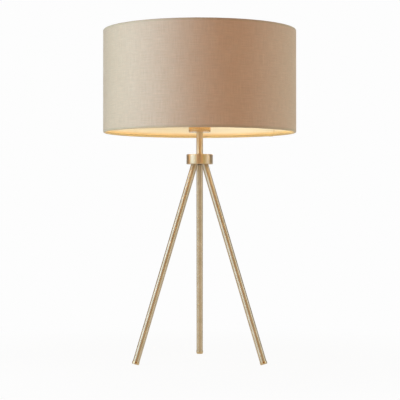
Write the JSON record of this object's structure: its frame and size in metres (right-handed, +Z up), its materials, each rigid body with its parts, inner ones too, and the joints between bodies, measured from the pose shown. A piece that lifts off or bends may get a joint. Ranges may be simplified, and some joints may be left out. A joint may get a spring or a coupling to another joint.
{
  "type": "tripod table lamp",
  "caption": "Table lamp: splayed tube legs in a turned hub carry a short stem, a screw lampholder and a wide drum shade.",
  "frame": {"origin": "on the table, under the middle of the hub", "axes": "+Z up along the stem; the rear leg points to +Y, the pictured side faces -Y"},
  "size_m": [0.35, 0.35, 0.6],
  "materials": {
    "satin_brass": "satin brushed and lacquered, long grain round the parts",
    "polished_brass": "polished and lacquered",
    "plated_steel": "zinc plated, machined",
    "contact_brass": "bare stamped strip",
    "black_plastic": "moulded thermoset, slightly glossy",
    "bush_plastic": "moulded, matt",
    "porcelain": "glazed white",
    "shade_linen": "plain woven linen-look fabric, taupe",
    "shade_lining": "smooth laminated lining, warm cream",
    "white_wire": "white powder coat",
    "opal_dome": "opal diffuser, matt, lit",
    "bulb_white": "moulded, white",
    "led_aluminium": "white-coated plate with chips",
    "cap_metal": "bare drawn sheet",
    "cap_insulator": "moulded black insulator",
    "solder": "solder, dull"
  },
  "bodies": {
    "stand": {"hub": "satin_brass", "leg_left": "satin_brass", "leg_right": "satin_brass", "leg_rear": "satin_brass", "foot_left": "polished_brass", "foot_right": "polished_brass", "foot_rear": "polished_brass", "leg_inserts": "plated_steel", "leg_studs": "plated_steel", "cable_bush": "bush_plastic", "stem_tube": "satin_brass", "threaded_rod": "plated_steel", "lampholder_cup": "satin_brass", "toothed_washer": "plated_steel", "rod_nut": "plated_steel", "insulator": "porcelain", "terminals": "contact_brass", "terminal_screws": "plated_steel", "screw_shell": "contact_brass", "centre_contact": "contact_brass", "lampholder_barrel": "black_plastic"},
    "seat_ring": {"shade_seat_ring": "black_plastic"},
    "clamp_ring": {"shade_clamp_ring": "black_plastic"},
    "shade": {"shade_fabric": "shade_linen", "shade_liner": "shade_lining", "top_wire_ring": "white_wire", "bottom_wire_ring": "white_wire", "spider_arms": "white_wire", "carrier_ring": "white_wire"},
    "bulb_tip": {"bulb_contact": "solder"},
    "bulb": {"bulb_dome": "opal_dome", "bulb_housing": "bulb_white", "led_plate": "led_aluminium", "bulb_cap": "cap_metal", "bulb_cap_insulator": "cap_insulator"}
  },
  "joints": [
    {"name": "shade_turn", "type": "hinge", "parent": "stand", "child": "shade", "pos_m": [0, 0, 0.446], "axis": [0, 0, 1], "continuous": true},
    {"name": "seat_ring_turn", "type": "hinge", "parent": "stand", "child": "seat_ring", "pos_m": [0, 0, 0.444], "axis": [0, 0, 1], "continuous": true},
    {"name": "clamp_ring_turn", "type": "hinge", "parent": "stand", "child": "clamp_ring", "pos_m": [0, 0, 0.452], "axis": [0, 0, 1], "range_deg": [0, 1440]},
    {"name": "bulb_climb", "type": "slide", "parent": "stand", "child": "bulb_tip", "axis": [0, 0, 1], "range_m": [0, 0.0146]},
    {"name": "bulb_turn", "type": "hinge", "parent": "bulb_tip", "child": "bulb", "pos_m": [0, 0, 0.45], "axis": [0, 0, 1], "range_deg": [0, 1440]}
  ],
  "couplings": [
    {"joint": "bulb_climb", "follows": "bulb_turn", "m_per_rad": 0.00057757}
  ]
}
